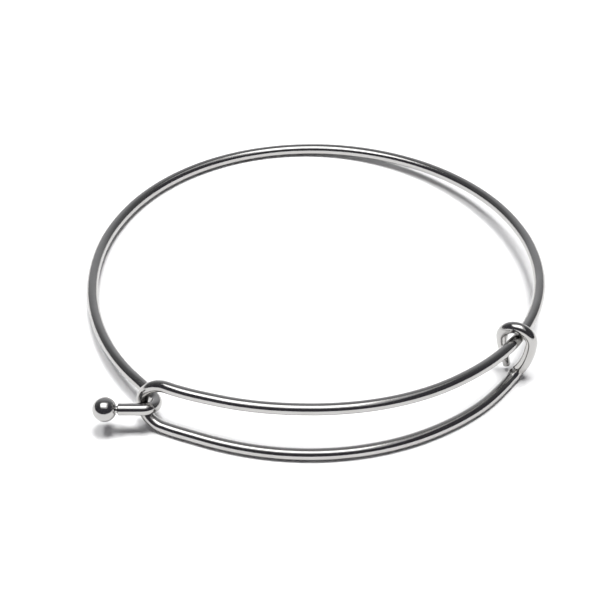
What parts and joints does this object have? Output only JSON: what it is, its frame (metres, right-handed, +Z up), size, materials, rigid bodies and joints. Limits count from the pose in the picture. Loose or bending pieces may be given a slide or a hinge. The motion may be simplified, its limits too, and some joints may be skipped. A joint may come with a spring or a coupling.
{
  "type": "charm bangle",
  "caption": "Expandable charm bangle of bent round wire, with a coil that slides along the ring, a hooked closure and a small ball on the wire's end.",
  "frame": {"origin": "middle of the bangle's box in plan, on the surface that it lies on", "axes": "+Z up from the surface, through the hole for the wrist; -Y towards the hairpin of two rails; -X towards the ball"},
  "size_m": [0.0644, 0.0656, 0.0089],
  "materials": {
    "steel": "polished stainless steel"
  },
  "bodies": {
    "root": {"bangle_wire": "steel", "end_ball": "steel"}
  },
  "joints": []
}
